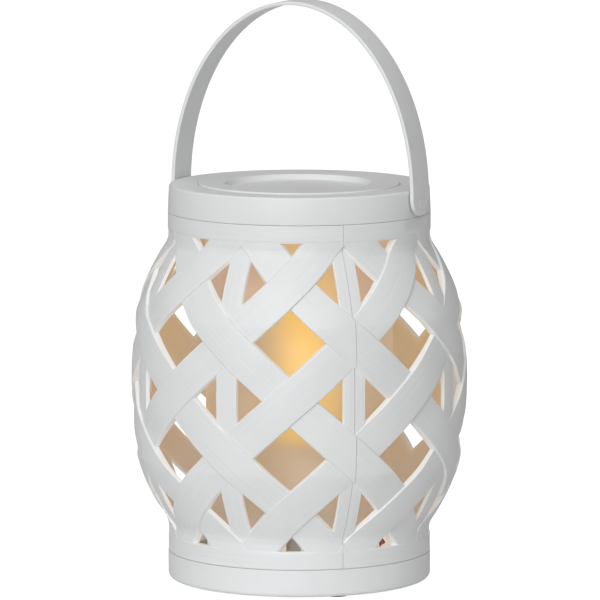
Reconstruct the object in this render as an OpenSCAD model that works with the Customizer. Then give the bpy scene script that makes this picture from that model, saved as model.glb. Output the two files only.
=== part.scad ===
// Flame-effect lantern: woven lattice barrel, cap ring with lift-off lid, strap bail,
// frosted inner cylinder and a battery light unit. Millimetres, +Z up, origin at the
// centre of the plane that the lantern stands on. The bail hinges about X.

/* [Shell] */
// Greatest radius of the lattice barrel
barrel_r = 71; // [69:0.5:73]
// Radius of the straight necks at the top and bottom of the shell
neck_r = 55.4; // [54.9:0.1:55.6]
// Height of the seam between the base tray and the shell panels
shell_z0 = 12.3; // [12:0.1:12.6]
// Height of the seam between the shell panels and the cap ring
shell_z1 = 156.4; // [156:0.1:157]
// Wall thickness of the shell
shell_t = 3; // [2.4:0.1:3.2]
// Radius of the barrel's slight bow, seen from the side
bow_r = 300; // [250:10:400]
// Distance from mid height to where the barrel turns into the shoulder
shoulder_d0 = 31; // [29:0.5:33]
// Distance from mid height to the foot of the shoulder
shoulder_d1 = 59; // [58:0.5:60]
// Radius at the foot of the shoulder
shoulder_r1 = 56.2; // [56:0.1:57]
// How far the shoulder bulges outside a straight cone
shoulder_bulge = 1.1; // [0:0.1:2]

/* [Lattice] */
// Height of the lattice's middle row of crossings
lattice_z = 84.9; // [84:0.1:86]
// Height of half a lattice cell
cell_h = 24.1; // [23.5:0.1:24.5]
// Half height of a diamond opening
hole_half_h = 14.2; // [12:0.1:14.5]
// Half width of a diamond opening, in degrees round the shell
hole_half_deg = 12.8; // [11:0.1:13]
// Width of the upright strips
upright_w = 9.4; // [8:0.1:10]
// Lower edge of the top band
band_top_z = 149.5; // [149:0.1:150]
// Upper edge of the bottom band
band_bottom_z = 20; // [19.5:0.1:20.5]

/* [Cap and lid] */
// Height of the cap ring's top face
cap_z = 167.9; // [167.5:0.1:168.4]
// Radius of the cap ring at its top face
cap_top_r = 54.9; // [54.7:0.1:55.2]
// Radius of the opening that the lid fills
lid_hole_r = 42.7; // [42:0.1:43]
// Height that the lid stands above the cap ring
lid_rise = 0.6; // [0.3:0.1:1]
// Radius of the dish in the lid
dish_r = 31.5; // [28:0.5:33]
// Depth of the dish in the lid
dish_depth = 2.1; // [1.5:0.1:2.2]

/* [Bail] */
// Width of the bail's strap
strap_w = 16; // [14:0.5:17]
// Thickness of the bail's strap
strap_t = 1.8; // [1.6:0.1:2]
// Distance from the middle plane to the strap's inner face at the pivots
strap_x = 54.9; // [54.8:0.1:55.2]
// Height of the top of the bail
bail_z = 245.3; // [235:0.5:255]
// Height of the pivot pins
pivot_z = 161.8; // [161.5:0.1:162.2]

/* [Light unit] */
// Outer radius of the frosted cylinder
diffuser_r = 39.5; // [39:0.1:40]
// Height of the frosted cylinder's closed top
diffuser_z1 = 150; // [146:0.5:151]
// Wall thickness of the frosted cylinder
diffuser_t = 1.5; // [1.2:0.1:1.6]
// Height at which the flame lens starts
flame_z0 = 92; // [85:1:95]
// Height of the flame lens
flame_h = 36; // [30:1:40]

/* [Hidden] */
$fn = 96;

gap = 0.3;            // clearance between pieces that move past each other
fit = 0.05;           // radial clearance of pins and screws in their holes
eps = 0.01;

// Shell
shell_mid = (shell_z0 + shell_z1) / 2;
shell_half = (shell_z1 - shell_z0) / 2;
seam_deg = 0.05;      // half of the hairline between two panels
shoulder_steps = 6;
neck_turn = 2.5;      // length of the turn from the shoulder into the neck
flange_t = 3;
flange_r = 45;        // inner radius of the panels' screw flanges

// Screws of the shell
ring_screw_r = 48.5;  // distance of the shell screws from the middle
screw_r = 1.4;
screw_head_r = 2.6;
screw_head_h = 2;
boss_r = 3.4;

// Base tray
foot_z = 0.8;         // lower edge of the tray's wall
tray_r = 55.5;
tray_t = 2.4;
floor_z = 3;
floor_t = 2.2;
floor_top = floor_z + floor_t;
base_head_z = 5;      // lower face of the base screws' heads
feet_r = 47;
foot_r = 4.5;
foot_stem_r = 1.5;
seat_post_r = 3.2;    // posts that the light seat is screwed to

// Battery bay: three cells side by side along X
cell_r = 7.25;
cell_len = 50.5;
cell_pitch = 15.2;
cell_z = 12.75;
button_r = 2.75;
button_h = 1;
bay_x = 29.5;
bay_y = 23.2;
bay_top = 21;
bay_t = 1.6;
rib_half = 20;        // ribs that part the cells
rib_t = 0.8;
rib_z = 18.4;
lead_y = 15;          // slots where the leads leave the bay
lead_z = 14;
lead_half = 1.4;
lead_r = 0.7;
contact_half = 5.5;
contact_t = 0.5;
spring_r = 0.3;
spring_turns = 3;

// Battery door and its hinge along Y
door_x0 = -28;        // hinge axis
door_axis_z = 4.3;
door_x1 = 30.3;
door_y = 23.1;
door_t = 1.8;
knuckle_r = 1.3;
stub_r = 1;
stub_len = 2.4;
tongue_x = 38;
tongue_y = 6;
tongue_t = 1.2;
door_screw_x = 34.5;
door_screw_hole_r = 2.2;
door_boss_r = 3.6;    // boss in the tray for the door's screw
door_boss_z = 12;
lug_half = 2.6;       // sockets in the tray for the hinge stubs
lug_y = 4;
lug_z = 6;
grip_pitch = 4;       // grooves under the door for a thumb
grip_half = 9;

// Slide switch, travelling along X
switch_y = -41;
switch_slot_x = 4.5;
switch_slot_y = 2;
switch_half_x = 8.5;
switch_half_y = 4.5;
switch_h = 6;
switch_wall = 1.8;
slider_x = 4;         // part of the knob inside the switch
slider_y = 2.4;
slider_h = 2.8;
knob_x = 2;           // part of the knob that a finger reaches
knob_y = 1.6;
knob_drop = 1.2;

// Light seat, board and post
seat_z = bay_top + bay_t;
seat_t = 2;
seat_r = 41;
seat_top = seat_z + seat_t;
lip_h = 4.4;
seat_screw_x = 12;
seat_screw_y = 30;
wire_hole_r = 2.6;
wire_hole_at = 33;
board_z = 30;
board_t = 1.6;
board_r = 22;
board_hole_r = 3;
standoff_at = 17;
post_r = 5;
post_foot_r = 8;
post_head_r = 9.2;
led_r = 2.5;
led_h = 5;
led_at = 4.2;
lens_t = 1.2;

// Cap ring
collar_t = 2.2;
cap_plate_t = 2.3;
ledge_r = 40;
ledge_z = 162.4;
ledge_t = 2.2;
flat_x = 54.3;        // the flats that the bail's ends lie against
flat_z = 150.4;
pin_r = 1.7;
pin_head_r = 2.3;
pin_head_h = 0.8;
pin_boss_r = 4.2;
pin_boss_x = 47.5;
washer_t = 0.8;

// Colours
white = [0.86, 0.87, 0.88];
frost = [0.95, 0.86, 0.72];
rubber = [0.16, 0.16, 0.17];
steel = [0.72, 0.73, 0.75];
amber = [1, 0.72, 0.3];

// Radius of the shell's outside at height z
function shell_radius(z) =
    let (d = abs(z - shell_mid), t = (d - shoulder_d0) / (shoulder_d1 - shoulder_d0),
         r0 = barrel_r - shoulder_d0 * shoulder_d0 / (2 * bow_r))
    d <= shoulder_d0 ? barrel_r - d * d / (2 * bow_r)
    : d <= shoulder_d1 ? r0 + (shoulder_r1 - r0) * t + 4 * shoulder_bulge * t * (1 - t)
    : max(neck_r, shoulder_r1 - (shoulder_r1 - neck_r) * (d - shoulder_d1) / neck_turn);

// Distances from mid height at which the profile gets a point, middle first
function profile_steps() = concat(
    [0, shoulder_d0 / 3, shoulder_d0 * 2 / 3],
    [for (i = [0 : shoulder_steps])
        shoulder_d0 + (shoulder_d1 - shoulder_d0) * i / shoulder_steps],
    [shoulder_d1 + neck_turn, shell_half]);

// Shell profile in (radius, height), offset inwards by t, from the bottom up
function side_points(t) =
    let (d = profile_steps(), n = len(d) - 1)
    concat([for (i = [n : -1 : 1]) [shell_radius(shell_mid - d[i]) - t, shell_mid - d[i]]],
           [for (i = [0 : n]) [shell_radius(shell_mid + d[i]) - t, shell_mid + d[i]]]);

function reversed(v) = [for (i = [len(v) - 1 : -1 : 0]) v[i]];

function half_width(z) = shell_radius(z) * sin(hole_half_deg);

// Half width of the triangle left where a band cuts a diamond centred at z
function cut_width(z, band_z) = half_width(band_z) * (1 - abs(z - band_z) / hole_half_h);

// Points on an ellipse from angle a0 to a1, half axes a and b
function ellipse_points(a, b, a0, a1, n) =
    [for (i = [0 : n]) let (w = a0 + (a1 - a0) * i / n) [a * cos(w), b * sin(w)]];

// A round tube along a path, closed at both ends
function unit(v) = v / norm(v);
function tangent(p, i) = unit(p[min(i + 1, len(p) - 1)] - p[max(i - 1, 0)]);
module tube_along(path, r, sides = 8) {
    n = len(path);
    rings = [for (i = [0 : n - 1])
        let (t = tangent(path, i),
             u = unit(cross(t, abs(t.z) > 0.9 ? [0, 1, 0] : [0, 0, 1])), v = cross(t, u))
        for (k = [0 : sides - 1])
            path[i] + r * (cos(360 * k / sides) * u + sin(360 * k / sides) * v)];
    walls = [for (i = [0 : n - 2]) for (k = [0 : sides - 1])
        let (a = i * sides + k, b = i * sides + (k + 1) % sides)
        for (f = [[a, a + sides, b + sides], [a, b + sides, b]]) f];
    ends = [[for (k = [0 : sides - 1]) k],
            [for (k = [sides - 1 : -1 : 0]) (n - 1) * sides + k]];
    polyhedron(points = rings, faces = concat(walls, ends), convexity = 6);
}

module ring(r_out, r_in, z0, z1) {
    translate([0, 0, z0]) difference() {
        cylinder(r = r_out, h = z1 - z0);
        translate([0, 0, -1]) cylinder(r = r_in, h = z1 - z0 + 2);
    }
}

module block(x0, x1, y0, y1, z0, z1) {
    translate([x0, y0, z0]) cube([x1 - x0, y1 - y0, z1 - z0]);
}

module rod(r, z0, z1) {
    translate([0, 0, z0]) cylinder(r = r, h = z1 - z0, $fn = 32);
}

// A rod along X
module rod_x(r, x0, x1, z) {
    translate([x0, 0, z]) rotate([0, 90, 0]) cylinder(r = r, h = x1 - x0, $fn = 48);
}

// Pushes a flat outline, drawn as (sideways, height), outwards through the shell
module push_out(az, z) {
    rotate([0, 0, az]) translate([40, 0, z]) rotate([90, 0, 90])
        linear_extrude(height = 40) children();
}

module diamond(z) {
    w = half_width(z);
    polygon([[0, -hole_half_h], [w, 0], [0, hole_half_h], [-w, 0]]);
}

// Outline of one side of a diamond that an upright strip splits
module split_diamond(z, side) {
    w = half_width(z);
    edge = upright_w / 2;
    reach = hole_half_h * (1 - edge / w);
    polygon([[side * edge, -reach], [side * w, 0], [side * edge, reach]]);
}

// All openings of the panel centred on azimuth az
module lattice_openings(az) {
    for (side = [-1, 1]) {
        for (row = [-1, 1])
            push_out(az + side * 22.5, lattice_z + row * cell_h)
                diamond(lattice_z + row * cell_h);
        for (row = [-1, 0, 1]) let (z = lattice_z + 2 * row * cell_h) {
            push_out(az, z) split_diamond(z, side);
            push_out(az + side * 45, z) split_diamond(z, -side);
        }
        let (z = lattice_z + 3 * cell_h, w = cut_width(z, band_top_z))
            push_out(az + side * 22.5, 0)
                polygon([[-w, band_top_z], [w, band_top_z], [0, z - hole_half_h]]);
        let (z = lattice_z - 3 * cell_h, w = cut_width(z, band_bottom_z))
            push_out(az + side * 22.5, 0)
                polygon([[-w, band_bottom_z], [w, band_bottom_z], [0, z + hole_half_h]]);
    }
}

// The space beside the bail's end, cut flat from the cap ring and from the neck
module bail_flat(az) {
    rotate([0, 0, az]) block(flat_x, flat_x + 5, -15, 15, flat_z, cap_z + 1);
}

// Places its children at both screws of the panel centred on azimuth az
module panel_screw_places(az) {
    for (side = [-22.5, 22.5]) rotate([0, 0, az + side])
        translate([ring_screw_r, 0, 0]) children();
}

// Places its children at all eight screws of a shell joint
module ring_screw_places() {
    for (az = [0 : 90 : 270]) panel_screw_places(az) children();
}

// One quarter of the barrel, with a screw flange at the top and at the bottom
module shell_panel(az) {
    inner_r = neck_r - shell_t;
    color(white) difference() {
        union() {
            rotate([0, 0, az - 45 + seam_deg])
                rotate_extrude(angle = 90 - 2 * seam_deg, $fn = 180) {
                    polygon(concat(side_points(0), reversed(side_points(shell_t))));
                    translate([flange_r, shell_z1 - flange_t])
                        square([inner_r - flange_r + 1, flange_t]);
                    translate([flange_r, shell_z0])
                        square([inner_r - flange_r + 1, flange_t]);
                }
            panel_screw_places(az) rod(boss_r, shell_z0, shell_z0 + 2 * flange_t);
        }
        lattice_openings(az);
        panel_screw_places(az) {
            rod(screw_r + fit, shell_z0 - 1, shell_z0 + 2 * flange_t + 1);
            rod(screw_r + fit, shell_z1 - flange_t - 1, shell_z1 + 1);
        }
        if (az % 180 == 0) bail_flat(az);
    }
}

module shell_panel_front() { shell_panel(-90); }
module shell_panel_right() { shell_panel(0); }
module shell_panel_back() { shell_panel(90); }
module shell_panel_left() { shell_panel(180); }

// Floor and low wall that carry everything, with posts, bosses and the switch slot
module base_tray() {
    round_r = 2;
    color(white) difference() {
        union() {
            rotate_extrude() {
                polygon(concat(
                    [[tray_r - tray_t, foot_z], [tray_r - round_r, foot_z]],
                    [for (p = ellipse_points(round_r, round_r, -75, 0, 5))
                        [tray_r - round_r + p.x, foot_z + round_r + p.y]],
                    [[tray_r, shell_z0], [tray_r - tray_t, shell_z0]]));
                translate([0, floor_z]) square([tray_r - tray_t + 1, floor_t]);
            }
            ring_screw_places() rod(boss_r, floor_z, shell_z0);
            seat_post_places() rod(seat_post_r, floor_z, seat_z);
            translate([door_screw_x, 0, 0]) rod(door_boss_r, floor_z + 1, door_boss_z);
            for (side = [0, 1]) mirror([0, side, 0])
                block(door_x0 - lug_half, door_x0 + lug_half, door_y + gap, door_y + gap + lug_y,
                      floor_z, lug_z);
        }
        // opening and recess for the battery door, with its hinge sockets
        block(door_x0 - knuckle_r - gap, door_x1 + gap, -door_y - gap, door_y + gap,
              floor_z - 1, floor_top + 1);
        block(door_x1, tongue_x + gap, -tongue_y - gap, tongue_y + gap,
              floor_z - 1, floor_z + tongue_t + gap);
        translate([door_x0, 0, door_axis_z]) rotate([90, 0, 0])
            cylinder(r = stub_r + fit, h = 2 * (door_y + stub_len + gap), center = true, $fn = 48);
        translate([door_screw_x, 0, 0]) rod(door_screw_hole_r, floor_z - 1, door_boss_z - 1);
        // screws, feet and switch
        ring_screw_places() {
            rod(screw_r + fit, floor_z - 1, shell_z0 + 1);
            rod(screw_head_r + gap, floor_z - 1, base_head_z + screw_head_h);
        }
        seat_post_places() rod(screw_r + fit, seat_z - 10, seat_z + 1);
        foot_places() rod(foot_stem_r + fit, floor_z - 1, floor_top + 1);
        block(-switch_slot_x, switch_slot_x, switch_y - switch_slot_y, switch_y + switch_slot_y,
              floor_z - 1, floor_top + 1);
    }
}

module seat_post_places() {
    for (x = [-seat_screw_x, seat_screw_x]) for (y = [-seat_screw_y, seat_screw_y])
        translate([x, y, 0]) children();
}

module foot_places() {
    for (az = [45 : 90 : 315]) rotate([0, 0, az]) translate([feet_r, 0, 0]) children();
}

module rubber_feet() {
    color(rubber) foot_places() {
        rod(foot_r, 0, floor_z);
        rod(foot_stem_r, 0, floor_top - 0.2);
    }
}

// A round-headed screw whose head starts at z and whose shank points up
module screw(z, shank) {
    difference() {
        union() {
            rod(screw_head_r, z, z + screw_head_h);
            rod(screw_r, z, z + screw_head_h + shank);
        }
        for (turn = [0, 90]) rotate([0, 0, turn]) block(-1.6, 1.6, -0.35, 0.35, z - 1, z + 0.9);
    }
}

module base_screws() { color(steel) ring_screw_places() screw(base_head_z, 10.5); }

module cap_screws() {
    color(steel) ring_screw_places()
        screw(shell_z1 - flange_t - screw_head_h, 10);
}

module seat_screws() {
    color(steel) seat_post_places() translate([0, 0, seat_top + screw_head_h])
        mirror([0, 0, 1]) screw(0, 9);
}

// Ring on top of the shell: outer wall, top plate, collar and ledge for the lid
module cap_ring() {
    plate_z = cap_z - cap_plate_t;
    edge = 0.7;
    color(white) difference() {
        union() {
            rotate_extrude($fn = 180) {
                polygon([[neck_r - tray_t, shell_z1], [neck_r, shell_z1],
                         [cap_top_r, cap_z - edge], [cap_top_r - 0.2, cap_z - 0.2],
                         [cap_top_r - edge, cap_z], [cap_top_r - tray_t, cap_z]]);
                translate([lid_hole_r, plate_z])
                    square([cap_top_r - lid_hole_r - edge, cap_plate_t]);
                translate([lid_hole_r, ledge_z - ledge_t])
                    square([collar_t, cap_z - ledge_z + ledge_t]);
                translate([ledge_r, ledge_z - ledge_t])
                    square([lid_hole_r - ledge_r + 1, ledge_t]);
            }
            ring_screw_places() rod(boss_r, shell_z1, plate_z + 1);
            for (az = [0, 180]) rotate([0, 0, az]) rod_x(pin_boss_r, pin_boss_x, flat_x, pivot_z);
        }
        for (az = [0, 180]) {
            bail_flat(az);
            rotate([0, 0, az]) rod_x(pin_r + fit, pin_boss_x - 1, flat_x + 1, pivot_z);
        }
        ring_screw_places() rod(screw_r + fit, shell_z1 - 1, plate_z - 0.5);
        // notch for lifting the lid out
        rotate([0, 0, 24]) translate([lid_hole_r + 0.6, 0, cap_z - 1.6])
            rotate([0, 0, 180]) cylinder(r = 2.2, h = 3, $fn = 3);
    }
}

// Dished lid with a skirt that plugs into the cap ring
module lid() {
    r = lid_hole_r - gap;
    top = cap_z + lid_rise;
    dish_z = top - dish_depth;
    skirt = 1.8;
    plate = 1.9;
    color(white) difference() {
        rotate_extrude($fn = 180) polygon([
            [0, dish_z], [dish_r - 1.2, dish_z], [dish_r - 0.3, dish_z + 0.4],
            [dish_r + 0.7, top - 0.3], [dish_r + 1.5, top], [r - 0.5, top], [r, top - 0.5],
            [r, ledge_z + gap], [r - skirt, ledge_z + gap], [r - skirt, top - plate],
            [dish_r + 2.6, top - plate], [dish_r + 0.6, dish_z - plate], [0, dish_z - plate]]);
        // small grip notch at the edge of the dish
        rotate([0, 0, -150]) translate([dish_r + 0.3, 0, top - 1.5])
            cylinder(r = 1.7, h = 3, $fn = 3);
    }
}

// Strap bail: half an ellipse with round ends that lie beside the cap ring
module bail_handle() {
    end_r = strap_w / 2;
    arch_z = pivot_z + 3.2;
    outer_x = strap_x + strap_t;
    rise = bail_z - arch_z;
    color(white) difference() {
        union() {
            translate([0, end_r, arch_z]) rotate([90, 0, 0]) linear_extrude(height = strap_w)
                polygon(concat(ellipse_points(outer_x, rise, 0, 180, 60),
                               ellipse_points(strap_x, rise - strap_t, 180, 0, 60)));
            for (az = [0, 180]) rotate([0, 0, az]) rod_x(end_r, strap_x, outer_x, arch_z);
        }
        for (az = [0, 180]) rotate([0, 0, az]) {
            rod_x(pin_r + fit, strap_x - 1, outer_x + 1, pivot_z);
            rod_x(pin_head_r + 2 * fit, outer_x - pin_head_h - fit, outer_x + 1, pivot_z);
        }
    }
}

// Headed pivot pin, flush with the strap's outer face
module pivot_pin(az) {
    outer_x = strap_x + strap_t;
    color(white) rotate([0, 0, az]) {
        rod_x(pin_head_r, outer_x - pin_head_h, outer_x, pivot_z);
        rod_x(pin_r, pin_boss_x - washer_t - 0.5, outer_x - eps, pivot_z);
    }
}

module pivot_pin_right() { pivot_pin(0); }
module pivot_pin_left() { pivot_pin(180); }

module pin_washers() {
    color(steel) for (az = [0, 180]) rotate([0, 0, az]) difference() {
        rod_x(3.6, pin_boss_x - washer_t, pin_boss_x, pivot_z);
        rod_x(pin_r + fit, pin_boss_x - 2, pin_boss_x + 1, pivot_z);
    }
}

// Box over the cells, open below, with ribs that part the cells
module battery_box() {
    color(white) {
        difference() {
            block(-bay_x - bay_t, bay_x + bay_t, -bay_y - bay_t, bay_y + bay_t,
                  floor_top, seat_z);
            block(-bay_x, bay_x, -bay_y, bay_y, floor_top - 1, bay_top);
            // slots for the leads
            for (y = [-lead_y, lead_y])
                block(bay_x - 1, bay_x + bay_t + 1, y - lead_half, y + lead_half,
                      lead_z - lead_half, lead_z + lead_half);
            // notches over the door's hinge sockets
            for (side = [0, 1]) mirror([0, side, 0])
                block(-bay_x - bay_t - 1, door_x0 + lug_half + gap, door_y - gap,
                      bay_y + bay_t + 1, floor_top - 1, lug_z + gap);
        }
        for (side = [-1, 1]) translate([0, side * cell_pitch / 2, 0])
            block(-rib_half, rib_half, -rib_t / 2, rib_t / 2, rib_z, bay_top + eps);
    }
}

// Door in the floor, with a knuckle along its hinge edge and a tongue for the screw
module battery_door() {
    color(white) difference() {
        union() {
            block(door_x0, door_x1, -door_y, door_y, floor_z, floor_z + door_t);
            block(door_x1 - 1, tongue_x, -tongue_y, tongue_y, floor_z, floor_z + tongue_t);
            translate([door_x0, 0, door_axis_z]) rotate([90, 0, 0]) {
                cylinder(r = knuckle_r, h = 2 * door_y, center = true, $fn = 48);
                cylinder(r = stub_r, h = 2 * (door_y + stub_len), center = true, $fn = 48);
            }
        }
        translate([door_screw_x, 0, 0]) rod(screw_r + fit, floor_z - 1, floor_z + 3);
        for (x = [-3 * grip_pitch : grip_pitch : 3 * grip_pitch])
            block(x - 0.6, x + 0.6, -grip_half, grip_half, floor_z - 1, floor_z + 0.5);
    }
}

module door_screw() {
    color(steel) translate([door_screw_x, 0, 0]) difference() {
        union() {
            rod(screw_head_r, floor_z - 1.4, floor_z);
            rod(screw_r, floor_z - 1.4, 9.2);
        }
        block(-3, 3, -0.4, 0.4, floor_z - 2, floor_z - 0.7);
    }
}

// A cell lying along X; dir is the way its button points
module battery(row, dir) {
    translate([0, row * cell_pitch, cell_z]) rotate([0, dir * 90, 0]) {
        color("steelblue") translate([0, 0, -cell_len / 2])
            cylinder(r = cell_r, h = cell_len - button_h);
        color(steel) translate([0, 0, cell_len / 2 - button_h])
            cylinder(r = button_r, h = button_h);
    }
}

module battery_1() { battery(-1, 1); }
module battery_2() { battery(0, -1); }
module battery_3() { battery(1, 1); }

function plate_x(side) = side * (bay_x - 0.5);

// Cone springs that press on the flat ends of the cells
module contact_springs() {
    steps = 12;
    start = cell_len / 2 + 0.3;
    reach = bay_x - 0.8 - start;
    color(steel) for (row = [-1 : 1]) let (side = row == 0 ? 1 : -1)
        tube_along([for (i = [0 : spring_turns * steps])
            let (t = i / (spring_turns * steps), w = 360 * spring_turns * t, r = 2.4 + 1.8 * t)
            [side * (start + spring_r + (reach - 2 * spring_r) * t),
             row * cell_pitch + r * cos(w), cell_z + r * sin(w)]], spring_r, 6);
}

// Flat contacts at both ends of the bay
module contact_plates() {
    color(steel) for (row = [-1 : 1]) for (side = [-1, 1])
        translate([plate_x(side), row * cell_pitch, cell_z])
            cube([contact_t, 2 * contact_half, 2 * contact_half], center = true);
}

module switch_body() {
    color(rubber) difference() {
        translate([0, switch_y, floor_top])
            block(-switch_half_x, switch_half_x, -switch_half_y, switch_half_y, 0, switch_h);
        translate([0, switch_y, floor_top])
            block(switch_wall - switch_half_x, switch_half_x - switch_wall,
                  switch_wall - switch_half_y, switch_half_y - switch_wall, -1, slider_h + 2 * gap);
    }
}

module switch_knob() {
    color(rubber) translate([0, switch_y, 0]) {
        block(-slider_x, slider_x, -slider_y, slider_y, floor_top + gap, floor_top + slider_h);
        block(-knob_x, knob_x, -knob_y, knob_y, floor_z - knob_drop, floor_top + 1);
    }
}

// Plate on top of the battery box that carries the cylinder and the board
module light_seat() {
    inner = diffuser_r - diffuser_t - 0.2;
    color(white) difference() {
        union() {
            rod(seat_r, seat_z, seat_top);
            ring(inner, inner - 2, seat_top - eps, seat_top + lip_h);
            standoff_places() rod(2.5, seat_top - eps, board_z);
        }
        seat_post_places() rod(screw_r + fit, seat_z - 1, seat_top + 1);
        for (az = [0, -90]) rotate([0, 0, az]) translate([wire_hole_at, 0, 0])
            rod(wire_hole_r, seat_z - 1, seat_top + 1);
    }
}

module standoff_places() {
    for (az = [45 : 90 : 315]) rotate([0, 0, az]) translate([standoff_at, 0, 0]) children();
}

// Frosted cylinder with a softly rounded, closed top
module diffuser() {
    bend = 2.5;
    corner = ellipse_points(bend, bend, 0, 90, 6);
    inner_bend = bend - diffuser_t;
    inner_corner = ellipse_points(inner_bend, inner_bend, 90, 0, 4);
    color(frost) rotate_extrude($fn = 180) polygon(concat(
        [[diffuser_r - diffuser_t, seat_top], [diffuser_r, seat_top]],
        [for (p = corner) [diffuser_r - bend + p.x, diffuser_z1 - bend + p.y]],
        [[0, diffuser_z1], [0, diffuser_z1 - diffuser_t]],
        [for (p = inner_corner) [diffuser_r - bend + p.x, diffuser_z1 - bend + p.y]]));
}

module led_board() {
    color("darkgreen") difference() {
        rod(board_r, board_z, board_z + board_t);
        rod(board_hole_r, board_z - 1, board_z + board_t + 1);
    }
}

// Timer chip, capacitor, crystal and resistors on the board
module board_parts() {
    top = board_z + board_t;
    color(rubber) block(-14.5, -8.5, -4, 4, top, top + 1.6);
    color("steelblue") translate([-4, 15, 0]) rod(2.5, top, top + 6);
    color(steel) translate([8, -14, 0]) rod(1.5, top, top + 5);
    color(rubber) for (y = [9, 12]) block(-16, -13, y - 0.8, y + 0.8, top, top + 0.6);
}

// Column that holds the lights at the flame's height
module light_post() {
    foot = board_z + board_t;
    color(white) rotate_extrude() polygon([
        [0, foot], [post_foot_r, foot], [post_foot_r, foot + 1.5], [post_r + 0.8, foot + 3],
        [post_r, foot + 8], [post_r, flame_z0 - 8], [post_head_r, flame_z0 - 3],
        [post_head_r, flame_z0], [0, flame_z0]]);
}

module flame_leds() {
    color("gold") for (az = [0 : 120 : 240]) rotate([0, 0, az]) translate([led_at, 0, 0]) {
        rod(led_r, flame_z0, flame_z0 + led_h);
        translate([0, 0, flame_z0 + led_h]) sphere(r = led_r, $fn = 32);
    }
}

// Radius of the flame lens at the share t of its height
function flame_radius(t) = post_head_r * pow(1 - t, 0.9) * (1 + 1.5 * t);

// Hollow flame-shaped lens over the lights
module flame_lens() {
    n = 16;
    outer = [for (i = [0 : n]) [flame_radius(i / n), flame_z0 + flame_h * i / n]];
    inner_h = flame_h - 3 * lens_t;
    inner = [for (i = [n : -1 : 0])
        [max(0, flame_radius(i / n) - lens_t * (1 - i / n)), flame_z0 + inner_h * i / n]];
    color(amber) rotate_extrude() polygon(concat(outer, inner));
}

// Leads: bay to board at the +X side, and switch to board at the front
module lead(side) {
    top = board_z + board_t;
    tube_along([[31, lead_y * side, lead_z], [33, 14 * side, 15], [34, 9 * side, 17.5],
                [33.6, 3 * side, 20], [33, 1.2 * side, 23], [32.6, 1.2 * side, 26],
                [30, 2 * side, 29.5], [26, 3.4 * side, 32], [22, 4.6 * side, 33.6],
                [19, 5.4 * side, 33.6], [18.4, 5.6 * side, top + 1], [18.4, 5.6 * side, top]],
               lead_r);
}

module wire_red() { color("firebrick") lead(1); }
module wire_black() { color("black") lead(-1); }

module wire_switch() {
    top = board_z + board_t;
    color("gray") for (side = [-1, 1]) let (x = 1.2 * side)
        tube_along([[x, -40, floor_top + switch_h], [x, -40, 13], [x, -39, 15.6],
                    [x, -36, 18.6], [x, -33.6, 21], [x, -33, 23], [x, -32.6, 26],
                    [x, -30, 29.5], [x, -26, 32], [x, -22, 33.6], [x, -19, 33.6],
                    [x, -18.4, top + 1], [x, -18.4, top]], lead_r);
}

base_tray();
shell_panel_front();
shell_panel_right();
shell_panel_back();
shell_panel_left();
cap_ring();
lid();
bail_handle();
pivot_pin_right();
pivot_pin_left();
pin_washers();
rubber_feet();
base_screws();
cap_screws();
seat_screws();
battery_box();
battery_door();
door_screw();
battery_1();
battery_2();
battery_3();
contact_springs();
contact_plates();
switch_body();
switch_knob();
light_seat();
diffuser();
led_board();
board_parts();
light_post();
flame_leds();
flame_lens();
wire_red();
wire_black();
wire_switch();
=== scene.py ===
"""Looks of a flame-effect lantern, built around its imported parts."""

import math

import bpy
import numpy as np
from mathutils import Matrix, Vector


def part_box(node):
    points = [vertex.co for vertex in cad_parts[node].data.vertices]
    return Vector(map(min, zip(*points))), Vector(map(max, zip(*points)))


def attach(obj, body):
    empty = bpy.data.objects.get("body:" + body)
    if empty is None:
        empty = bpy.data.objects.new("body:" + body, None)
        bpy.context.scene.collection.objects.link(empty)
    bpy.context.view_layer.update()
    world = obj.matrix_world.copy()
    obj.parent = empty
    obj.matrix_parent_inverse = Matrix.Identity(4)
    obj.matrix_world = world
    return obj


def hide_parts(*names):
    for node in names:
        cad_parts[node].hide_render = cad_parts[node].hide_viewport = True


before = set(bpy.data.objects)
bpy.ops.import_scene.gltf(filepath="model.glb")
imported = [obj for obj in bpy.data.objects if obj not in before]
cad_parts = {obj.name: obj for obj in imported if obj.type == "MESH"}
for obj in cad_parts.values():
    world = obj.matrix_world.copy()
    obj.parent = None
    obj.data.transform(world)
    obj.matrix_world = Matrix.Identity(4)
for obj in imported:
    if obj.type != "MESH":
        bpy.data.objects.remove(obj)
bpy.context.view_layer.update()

bl_info = {
    "name": "Flame-Effect Lantern",
    "version": (1, 0, 0),
    "blender": (4, 5, 0),
    "location": "3D View > Sidebar > Lantern",
    "description": "Builds the woven barrel, cap, bail and glow of a battery lantern",
    "category": "Add Mesh",
}

TAU = 2 * math.pi
MM = 0.001
CELL = math.radians(22.5)  # half a lattice cell round the barrel
PANELS = {"front": -90, "right": 0, "back": 90, "left": 180}

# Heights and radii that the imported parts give
PANEL_LOW, PANEL_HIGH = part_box("shell_panel_front")
CAP_LOW, CAP_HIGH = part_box("cap_ring")
LID_LOW, LID_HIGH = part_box("lid")
BAIL_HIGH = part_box("bail_handle")[1]
TUBE_LOW, TUBE_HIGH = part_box("diffuser")
LENS_LOW, LENS_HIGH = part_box("flame_lens")
PIN_LOW, PIN_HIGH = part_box("pivot_pin_right")
PIVOT_Z = (PIN_LOW.z + PIN_HIGH.z) / 2
BARREL_R = -PANEL_LOW.y
SHELL_MID = (PANEL_LOW.z + PANEL_HIGH.z) / 2
FLAT_X = CAP_HIGH.x  # the flats that the bail's ends lie against
SCREW_R = 48.5 * MM  # distance of the shell's screws from the middle
BOSS_R = 3.4 * MM
HOLE_R = 42.7 * MM  # the cap ring's hole for the lid
SHANK_R = 1.7 * MM  # the pivot pins' shanks


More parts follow.
